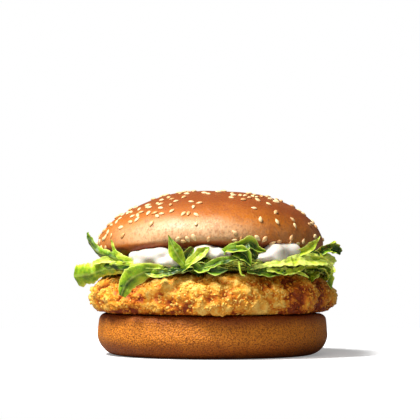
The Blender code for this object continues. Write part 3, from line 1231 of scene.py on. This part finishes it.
@dataclass
class Lettuce:
    """The bed of shredded lettuce: single leaves at the front, small shreds, a ring of strips and a core."""

    stack: Stack
    shred_count: int = 62
    shred_seed: int = 5
    front_share: float = 0.55
    ring_count: int = 64
    ring_seed: int = 23
    gap_side: float = math.radians(281)
    gap_half_width: float = math.radians(12)
    core_profile: tuple[tuple[float, float], ...] = (
        (0.0, 3.2),
        (20.0, 3.2),
        (40.0, 3.0),
        (45.5, 1.8),
        (45.5, 1.2),
        (40.0, 0.3),
        (20.0, 0.0),
        (0.0, 0.0),
    )
    across_steps: int = 12
    spacing: float = 0.6
    front_leaves: tuple[Leaf, ...] = (
        # Far left: a strip that curls up, a spike beside it, a broad leaf that points out, strips between.
        Leaf(
            (
                (-33.8, -37, 3.5), (-41.2, -33, 6.2), (-44.5, -30, 7.3), (-48.7, -26, 9),
                (-52.2, -24, 13.6), (-52.6, -23, 16.6),
            ),
            width=3.6, roll=(65, 85), cup=0.8, ruffle=0.3, tone=Tone.RICH, root_share=1.0,
            tip_share=0.7, widest=0.3,
        ),
        Leaf(
            ((-32, -38, 3.8), (-38.5, -35, 5.6), (-41, -33.5, 8.5), (-42.3, -33, 13.4)),
            width=4.2, roll=(60, 80), cup=0.4, ruffle=0.2, tone=Tone.LIGHT, root_share=1.0,
            tip_share=0.25, widest=0.3,
        ),
        Leaf(
            ((-34.5, -38, 1.3), (-44.6, -30, 1.3), (-51.8, -25, -0.9), (-58.4, -19.4, -1.7)),
            width=10.0, roll=(66, 82), cup=0.4, ruffle=0.4, tone=Tone.MILD, root_share=0.45,
            tip_share=1.0, widest=0.95, tip_round=0.2, fray=0.2,
        ),
        Leaf(
            ((-50, -28, 3.4), (-44, -31, 5.0), (-38, -36, 4.0)),
            width=3.0, roll=(60, 75), cup=0.6, ruffle=0.3, tone=Tone.PALE, root_share=0.6,
            tip_share=0.8,
        ),
        Leaf(
            ((-31, -41, 2.6), (-37, -37, 3.2), (-43, -33, 3.4)),
            width=2.6, roll=(60, 70), ruffle=0.4, tone=Tone.LIGHT, root_share=0.9, tip_share=0.6,
        ),
        Leaf(
            ((-31, -40, 0.8), (-38, -36, 1.4), (-46, -29, 2.6)),
            width=4.2, roll=(60, 65), cup=0.4, tone=Tone.DEEP, tip_share=0.8,
        ),
        # Hanging over the patty at the front left, and the dark leaf beside it.
        Leaf(
            (
                (-20, -49, 1.4), (-26, -48.2, 0.9), (-31.4, -46.4, -1.2), (-35.4, -44, -4.6),
                (-37.4, -42.5, -9.8),
            ),
            width=8.4, roll=(50, 80), ruffle=0.25, root_share=0.45, tip_share=0.8, widest=0.5,
            tip_round=0.7, fray=0.15,
        ),
        Leaf(
            ((-34.4, -44.5, 2.2), (-29, -47.5, 2.5), (-21, -49.8, 1.6)),
            width=2.2, roll=(50, 60), ruffle=0.2, tone=Tone.LIGHT, root_share=0.9, tip_share=0.4,
        ),
        Leaf(
            ((-35.4, -43.6, -3.4), (-37, -43, -6.0), (-38, -42, -8.6)),
            width=3.4, roll=(80, 84), cup=0.2, ruffle=0.2, tone=Tone.DEEP, root_share=0.7,
            tip_share=0.6,
        ),
        Leaf(
            ((-28, -47, 0.4), (-23, -50, -0.8), (-18, -51, 0.0), (-13, -51.5, 1.0)),
            width=3.8, roll=(62, 66), ruffle=0.4, tone=Tone.DEEP, root_share=0.6,
        ),
        Leaf(
            ((-27, -48, -0.8), (-23, -50.6, -1.6), (-18, -51.4, -1.2)),
            width=1.5, roll=(60, 60), cup=0.2, ruffle=0.2, tone=Tone.LIGHT, root_share=0.7,
            tip_share=0.4,
        ),
        # The long wavy edge under the sauce.
        Leaf(
            (
                (-14.5, -50, 0), (-8.2, -52, 2.6), (-5.2, -52.5, 0.8), (-2.2, -52.5, 2),
                (1.9, -52.5, 4.2), (5.9, -52, 5.2), (9.5, -51.5, 5.6), (12.8, -51, 4),
                (15.5, -50.5, 1.8),
            ),
            width=3.8, roll=(52, 66), cup=0.4, ruffle=0.7, tone=Tone.RICH, root_share=0.5,
            tip_share=0.3, widest=0.3,
        ),
        Leaf(
            ((-19, -49, 0.8), (-13, -50, 1.6), (-6, -50, 2.4), (2, -50, 3)),
            width=5.0, roll=(30, 50), cup=-0.2, ruffle=0.8, tone=Tone.DEEP, root_share=0.6,
            tip_share=0.8,
        ),
        Leaf(
            ((-3.6, -52.5, 1.2), (1.3, -53.5, 0.4), (6.2, -53, 1.2)),
            width=4.6, roll=(62, 66), cup=0.5, ruffle=0.3, tone=Tone.DEEP, root_share=0.3,
            tip_share=0.3,
        ),
        # Upright between the lumps of sauce.
        Leaf(
            ((-11.2, -50.5, 2.4), (-14, -51.5, 6.5), (-16, -51.5, 10.1), (-18.2, -51, 15.2)),
            width=6.0, roll=(84, 92), cup=0.2, ruffle=0.2, root_share=0.45, tip_share=0.1, widest=0.55,
            fray=0.1,
        ),
        Leaf(
            ((-11.5, -49.5, 3), (-10, -49.8, 7), (-8, -50, 10)),
            width=4.6, roll=(80, 86), cup=0.4, ruffle=0.5, tone=Tone.DEEP, tip_share=0.6,
        ),
        Leaf(
            ((-11.2, -50.8, 2.2), (-7.1, -52, 6), (-3.8, -52, 8.7), (-1.3, -51.5, 9.9)),
            width=4.6, roll=(72, 84), cup=0.4, ruffle=0.4, tone=Tone.LIGHT, root_share=0.7,
            tip_share=0.3,
        ),
        # The ruffled leaf right of the middle, with its fold and a loose tendril.
        Leaf(
            (
                (3.5, -49.5, 7.5), (5.8, -51, 9.2), (10.5, -52, 9.9), (15.3, -52, 12), (18.2, -51, 9.4),
                (21.6, -50, 8.4),
            ),
            width=5.4, roll=(62, 80), cup=0.6, ruffle=0.9, tone=Tone.RICH, root_share=0.3,
            tip_share=0.25,
        ),
        Leaf(
            ((9, -51, 8.6), (13, -52.8, 7.2), (15.6, -52.8, 2.6)),
            width=5.6, roll=(70, 88), cup=0.7, tone=Tone.RICH, tip_share=0.15,
        ),
        Leaf(
            ((11, -49.5, 9.6), (15.5, -50, 8), (18, -49.5, 5.4)),
            width=5.0, roll=(75, 85), cup=0.5, tone=Tone.DEEP, root_share=0.9, tip_share=0.7,
        ),
        Leaf(
            ((10.5, -53, 4.7), (11.1, -54, 0.6), (11.8, -54.2, -0.9), (13.2, -53.8, -1.5)),
            width=0.6, roll=(80, 80), cup=0.0, ruffle=0.05, tone=Tone.LIGHT, root_share=1.0,
            tip_share=0.6,
        ),
        # Right: a pale rib that widens, a light strip with a dark leaf under it, and a sliver.
        Leaf(
            (
                (15, -50.4, 2), (22, -48, 2.8), (29.8, -43.6, 4.0), (35.8, -38.6, 4.8),
                (45, -29.8, 5.2), (52, -21.5, 5.4),
            ),
            width=6.8, roll=(42, 56), cup=0.1, ruffle=0.2, tone=Tone.PALE, root_share=0.3,
            tip_share=0.9, widest=0.85,
        ),
        Leaf(
            ((22, -49, 0.9), (27, -46.6, 0.4), (31.6, -43.6, 0.0), (35.1, -40.6, 0.8), (39, -37, 3.0)),
            width=3.0, roll=(50, 60), cup=0.2, ruffle=0.4, tone=Tone.LIGHT, root_share=0.6,
        ),
        Leaf(
            ((14, -51.5, 1), (20, -49.8, 0), (25, -47.3, -0.3), (30, -44.5, 0.4)),
            width=4.0, roll=(60, 60), ruffle=0.4, tone=Tone.DEEP, root_share=0.7,
        ),
        Leaf(
            ((33.5, -41, 0.2), (36.5, -40, -0.6), (39.8, -38.4, -2.4)),
            width=1.3, roll=(70, 70), cup=0.2, ruffle=0.1, tone=Tone.LIGHT, root_share=1.0,
            tip_share=0.3,
        ),
        # Far right: a pointed leaf up the crown, dark frayed ends, and a curl that hangs down.
        Leaf(
            ((35, -37, 7.4), (39.8, -33.5, 9.6), (42.6, -31.5, 12), (45.2, -29.5, 15)),
            width=3.4, roll=(72, 84), ruffle=0.2, tone=Tone.LIGHT, tip_share=0.1,
        ),
        Leaf(
            ((37, -34, 6.2), (41, -31, 7), (45, -28, 7.4)),
            width=4.4, roll=(70, 70), ruffle=0.4, tone=Tone.DEEP, root_share=0.9, tip_share=0.7,
        ),
        Leaf(
            ((43, -29, 7), (48, -24, 9.4), (52, -20.5, 9.6), (54.6, -18.5, 8)),
            width=4.4, roll=(60, 78), cup=0.8, ruffle=1.2, tone=Tone.DEEP, root_share=0.7,
            tip_share=0.8,
        ),
        Leaf(
            ((47, -23.5, 8.6), (49.4, -21, 10.6), (52, -19, 13)),
            width=2.4, roll=(60, 70), cup=0.5, ruffle=0.5, tone=Tone.LIGHT, root_share=0.9,
            tip_share=0.4,
        ),
        Leaf(
            ((41, -34, 4.8), (46.5, -29, 3.0), (48.6, -27, -1.4), (49.8, -26, -7.4)),
            width=6.6, roll=(62, 85), cup=0.6, ruffle=0.9, tip_share=0.35,
        ),
        Leaf(
            ((45, -31, 4.4), (49.5, -27, 2.4), (50.4, -26.5, -0.6), (48.2, -28.4, -2.6)),
            width=2.6, roll=(70, 80), cup=0.5, ruffle=0.5, tone=Tone.PALE,
        ),
    )

    def build(self) -> list[bpy.types.Object]:
        """Build the leaves of the front, the fringe of shreds, the ring of strips and the core."""
        skin = LeafSkin().material()
        front = self.softened(self.joined("lettuce_front", self.front_leaves, skin))
        fringe = self.softened(self.joined("lettuce_shreds", self.shreds(), skin))
        ring = self.joined("lettuce_ring", self.ring_leaves(), skin)
        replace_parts(ring, "lettuce")
        return [front, fringe, ring, self.core(skin)]

    def shreds(self) -> Iterable[Leaf]:
        """Make the small shreds that fill the bed's edge, just over half of them at the front."""
        dice = random.Random(self.shred_seed)
        for number in range(self.shred_count):
            front = number < self.shred_count * self.front_share
            direction = math.radians(dice.uniform(212, 330) if front else dice.uniform(-20, 200))
            if abs(direction - self.gap_side) < self.gap_half_width:
                continue
            turn = math.radians(dice.uniform(5, 13)) * dice.choice((-1, 1))
            level = 1.2 * self.stack.front(math.sin(direction) * 50) + dice.uniform(-0.6, 2.6)
            reach = dice.uniform(47.0, 50.0) if front else dice.uniform(48.5, 52.5)
            drop = dice.uniform(-3.2, 2.2)
            path = (
                polar(direction, 44.0, level),
                polar(direction + 0.5 * turn, 48.0, level + 0.3),
                polar(direction + turn, reach, level + drop),
            )
            yield Leaf(
                path,
                dice.uniform(3.0, 6.5),
                (dice.uniform(-20, 40), dice.uniform(-30, 70)),
                dice.uniform(-0.5, 0.8),
                dice.uniform(0.6, 1.3),
                # Front shreds are mostly deep green: painted shade for the hollow at the front of the bed.
                dice.choice((Tone.DEEP, Tone.DEEP, Tone.FRESH) if front else tuple(Tone)),
                dice.uniform(0.5, 0.9),
                dice.uniform(0.3, 0.9),
            )

    def ring_leaves(self) -> Iterable[Leaf]:
        """Make the strips that lie around the sides and the back, and a few between the front ones."""
        dice = random.Random(self.ring_seed)
        tones = list(Tone)
        for number in range(self.ring_count):
            direction = math.radians(number * GOLDEN_ANGLE)
            at_front = bump_at(direction, 270, 45)
            level = self.stack.front(math.sin(direction) * 50) * 1.4
            tangent = dice.random() < 0.5 or at_front > 0.3
            spread = math.radians(dice.uniform(12, 24))
            height = dice.uniform(0.6, 3.0) + level * 0.6
            if tangent:
                turns = (-1.0, -0.35, 0.35, 1.0)
                reaches = [dice.uniform(45, 50) - 3 * at_front for _ in turns]
                rises = [height + dice.uniform(-0.8, 0.8) for _ in turns]
            else:
                turns = (0.0, 0.1, 0.2, dice.uniform(-0.2, 0.5))
                sideways = math.cos(direction) ** 2
                reach = dice.uniform(51, 56.5) - 3.5 * sideways
                reaches = [36.0, 46.0, 0.5 * (reach + 48), reach]
                tip = dice.uniform(-7.0, 6.0 - 5.0 * sideways)
                rises = [height, height + 0.4, height + 0.35 * tip, height + tip]
            path = tuple(
                polar(direction + spread * turn, reach, rise)
                for turn, reach, rise in zip(turns, reaches, rises)
            )
            yield Leaf(
                path,
                dice.uniform(4.5, 8.0),
                (dice.uniform(-15, 25), dice.uniform(0, 50)),
                dice.uniform(-0.4, 0.6),
                dice.uniform(0.5, 1.5),
                dice.choice(tones),
                dice.uniform(0.6, 0.95),
                dice.uniform(0.3, 0.9),
            )

    def joined(self, name: str, leaves: Iterable[Leaf], skin: bpy.types.Material) -> bpy.types.Object:
        """Join leaves into one piece."""
        bm = bmesh.new()
        for number, leaf in enumerate(leaves):
            self.add(bm, leaf, number)
        return Mould.piece(name, bm, (skin,), "lettuce_leaf")

    @staticmethod
    def softened(made: bpy.types.Object) -> bpy.types.Object:
        """Round a piece's facets with one subdivision."""
        finer = made.modifiers.new("soften", "SUBSURF")
        finer.levels = finer.render_levels = 1
        return made

    def add(self, bm: bmesh.types.BMesh, leaf: Leaf, number: int) -> None:
        """Add one leaf: a grid laid along its path, then given its thickness."""
        points = [Vector((x, y, z + self.stack.patty_top)) for x, y, z in leaf.path]
        length = sum((b - a).length for a, b in zip(points, points[1:]))
        steps = max(8, int(length / self.spacing))
        blade = bmesh.new()
        uv = blade.loops.layers.uv.new("leaf")
        tone = blade.verts.layers.float.new("tone")
        bmesh.ops.create_grid(blade, x_segments=self.across_steps, y_segments=steps, size=1.0)
        for face in blade.faces:
            for loop in face.loops:
                loop[uv].uv = (loop.vert.co.x * 0.5 + 0.5, (loop.vert.co.y * 0.5 + 0.5) * length / 10)
        for vertex in blade.verts:
            across, share = vertex.co.x, vertex.co.y * 0.5 + 0.5
            vertex.co, lift = self.point(leaf, points, across, share * length, length, number)
            # Crests get a paler tone and hollows a darker one: painted highlight and painted shade.
            shade = 0.3 * noise.noise(vertex.co / 4) - 0.32 * lift + 0.2 * (share - 0.5)
            vertex[tone] = min(1.0, max(0.0, leaf.tone.value + shade))
        bmesh.ops.solidify(blade, geom=blade.faces, thickness=leaf.thickness)
        bmesh.ops.recalc_face_normals(blade, faces=blade.faces)
        mesh = bpy.data.meshes.new("blade")
        blade.to_mesh(mesh)
        blade.free()
        bm.from_mesh(mesh)
        bpy.data.meshes.remove(mesh)

    @staticmethod
    def point(
        leaf: Leaf, points: Sequence[Vector], across: float, run: float, length: float, number: int
    ) -> tuple[Vector, float]:
        """Return the place of a leaf's point and how far it rises out of the leaf's plane.

        Args:
            leaf: The leaf.
            points: Its path in millimetres.
            across: -1 at one edge and 1 at the other.
            run: How far along the leaf it lies, in millimetres.
            length: The leaf's length.
            number: The leaf's number, which makes its unevenness its own.

        Returns:
            The point and its rise.
        """
        share = run / length
        middle = along(points, share)
        ahead, behind = along(points, min(1.0, share + 0.02)), along(points, max(0.0, share - 0.02))
        forward = (ahead - behind).normalized()
        side = forward.cross(Vector((0, 0, 1)))
        if side.length < 0.2:
            side = forward.cross(Vector((middle.x, middle.y, 0)).normalized())
        side.normalize()
        up = side.cross(forward).normalized()
        turn = Matrix.Rotation(math.radians(leaf.roll[0] + (leaf.roll[1] - leaf.roll[0]) * share), 3, forward)
        side, up = turn @ side, turn @ up
        swell = leaf.root_share + (1 - leaf.root_share) * smooth(share, 0.0, leaf.widest)
        tail = 1 - (1 - leaf.tip_share) * smooth(share, leaf.widest, 1.0)
        rounding = math.sqrt(max(0.0, 1 - smooth(share, 0.84, 1.0) ** 2 * leaf.tip_round))
        own = Vector((run / 6, across * 0.8, number * 7.3))
        tooth = Vector((run / 1.3, math.copysign(3.0, across), number * 3.1))
        uneven = 1 + 0.25 * noise.noise(own) + leaf.fray * abs(across) ** 3 * noise.noise(tooth)
        half = 0.5 * leaf.width * swell * tail * rounding * uneven
        phase = number * 1.9 + (1.4 if across > 0 else 0.0)
        wave = 2.2 * noise.noise(Vector((run / 3.1, phase, 0.0)))
        wave += 0.9 * noise.noise(Vector((run / 1.3, phase, 5.0)))
        lift = leaf.cup * half * (across**2 - 0.35) + leaf.ruffle * wave * abs(across) ** 1.6
        lift += 0.55 * noise.noise(Vector((run / 1.8, across * half / 1.8, number * 5.7)))
        lift -= 0.35 * math.exp(-((across * 6) ** 2))
        return middle + side * half * across + up * lift, lift

    def core(self, skin: bpy.types.Material) -> bpy.types.Object:
        """Build the core of the bed, which fills it behind the strips, deep green all over as painted shade.
        """
        bm = Mould.turned(self.core_profile, 96)
        tone = bm.verts.layers.float.new("tone")
        top = self.stack.patty_top

        def place(angle: float, radius: float, height: float) -> Vector:
            """Wave the core's edge."""
            reach = radius * (1 + 0.025 * math.sin(9 * angle) + 0.02 * math.sin(14 * angle + 1))
            x, y, low = polar(angle, reach, top - 0.8)
            return Vector((x, y, low + height + self.stack.front(y) * 0.8))

        Mould.placed(bm, place)
        for vertex in bm.verts:
            # Deep green all over: painted shade inside the bed.
            vertex[tone] = Tone.DEEP.value
        bm.loops.layers.uv.new("leaf")
        return Mould.piece("lettuce_core", bm, (skin,), "lettuce_leaf")


# --------------------------------------------------------------------------------------------------
# The studio
# --------------------------------------------------------------------------------------------------


@dataclass(frozen=True)
class Lamp:
    """A soft box: where it stands and where it points, and its sides, in metres, and its power in watts."""

    name: str
    place: tuple[float, float, float]
    target: tuple[float, float, float]
    width: float
    height: float
    power: float


@dataclass
class Studio:
    """The white floor, the lamps and the camera."""

    distance: float = 0.80
    camera_height: float = 0.042
    aim_height: float = 0.0626
    camera_side: float = -0.0011
    view_width: float = 0.1826
    floor_radius: float = 0.3
    ambient: float = 0.14
    floor_glow: float = 0.29
    floor_bounce: Colour = srgb(150, 146, 142)
    lamps: tuple[Lamp, ...] = (
        Lamp("key", (-0.40, -0.30, 0.86), (0.0, 0.0, 0.04), 0.30, 0.30, 18.5),
        Lamp("front", (-0.20, -0.88, 0.44), (0.0, 0.0, 0.05), 0.5, 0.5, 2.6),
    )

    def build(self) -> None:
        """Set up the studio."""
        self.floor()
        self.light()
        self.camera()
        view = bpy.context.scene.view_settings
        view.view_transform = "Standard"
        view.look = "None"

    def floor(self) -> None:
        """Lay a large pale floor."""
        bm = bmesh.new()
        bmesh.ops.create_circle(bm, cap_ends=True, segments=96, radius=self.floor_radius)
        mesh = bpy.data.meshes.new("floor")
        bm.to_mesh(mesh)
        bm.free()
        board = Board("floor_paint")
        mesh.materials.append(self.paint(board))
        made = bpy.data.objects.new("floor", mesh)
        bpy.context.scene.collection.objects.link(made)

    def paint(self, board: Board) -> bpy.types.Material:
        """Paint the floor white, but let it throw back less light than it shows, as a dull table would."""
        white = srgb(244, 244, 244)
        lit = board.out("ShaderNodeBsdfDiffuse", Color=white)
        glow = board.out("ShaderNodeEmission", Color=white, Strength=self.floor_glow)
        shown = board.node("ShaderNodeAddShader", {}, {0: lit, 1: glow})
        dull = board.out("ShaderNodeBsdfDiffuse", Color=self.floor_bounce)
        seen = board.out("ShaderNodeLightPath", "Is Camera Ray")
        mixed = board.node("ShaderNodeMixShader", {}, {0: seen, 1: dull, 2: Value(board, shown.outputs[0])})
        board.node("ShaderNodeOutputMaterial", {}, {"Surface": Value(board, mixed.outputs[0])})
        return board.material

    def light(self) -> None:
        """Hang the lamps and light the backdrop."""
        for lamp in self.lamps:
            data = bpy.data.lights.new(lamp.name, "AREA")
            data.shape = "RECTANGLE"
            data.size = lamp.width
            data.size_y = lamp.height
            data.energy = lamp.power
            made = bpy.data.objects.new(lamp.name, data)
            made.location = lamp.place
            way = Vector(lamp.target) - Vector(lamp.place)
            made.rotation_euler = way.to_track_quat("-Z", "Y").to_euler()
            bpy.context.scene.collection.objects.link(made)
        world = bpy.data.worlds.new("studio")
        bpy.context.scene.world = world
        world.use_nodes = True
        tree = world.node_tree
        tree.nodes.clear()
        seen = tree.nodes.new("ShaderNodeBackground")
        seen.inputs["Strength"].default_value = 1.0
        cast = tree.nodes.new("ShaderNodeBackground")
        cast.inputs["Strength"].default_value = self.ambient
        for background in (seen, cast):
            background.inputs["Color"].default_value = (1.0, 1.0, 1.0, 1.0)
        path = tree.nodes.new("ShaderNodeLightPath")
        mix = tree.nodes.new("ShaderNodeMixShader")
        output = tree.nodes.new("ShaderNodeOutputWorld")
        tree.links.new(path.outputs["Is Camera Ray"], mix.inputs[0])
        tree.links.new(cast.outputs[0], mix.inputs[1])
        tree.links.new(seen.outputs[0], mix.inputs[2])
        tree.links.new(mix.outputs[0], output.inputs[0])

    def camera(self) -> None:
        """Stand the camera low in front of the burger."""
        data = bpy.data.cameras.new("camera")
        data.sensor_width = 36.0
        data.lens = data.sensor_width * self.distance / self.view_width
        made = bpy.data.objects.new("camera", data)
        made.location = (self.camera_side, -self.distance, self.camera_height)
        aim = Vector((self.camera_side, 0.0, self.aim_height))
        made.rotation_euler = (aim - made.location).to_track_quat("-Z", "Y").to_euler()
        bpy.context.scene.collection.objects.link(made)
        bpy.context.scene.camera = made


def main() -> None:
    """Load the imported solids, build the studio and the burger around them, and note the sizes."""
    logging.basicConfig(level=logging.INFO, format="%(name)s: %(message)s")
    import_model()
    stack = Stack.measured()
    LOG.info("stack: %s", stack)
    Studio().build()
    Heel(stack).build()
    Patty(stack).build()
    Lettuce(stack).build()
    Mayonnaise().build()
    Crown(stack).build()


if __name__ == "__main__":
    main()
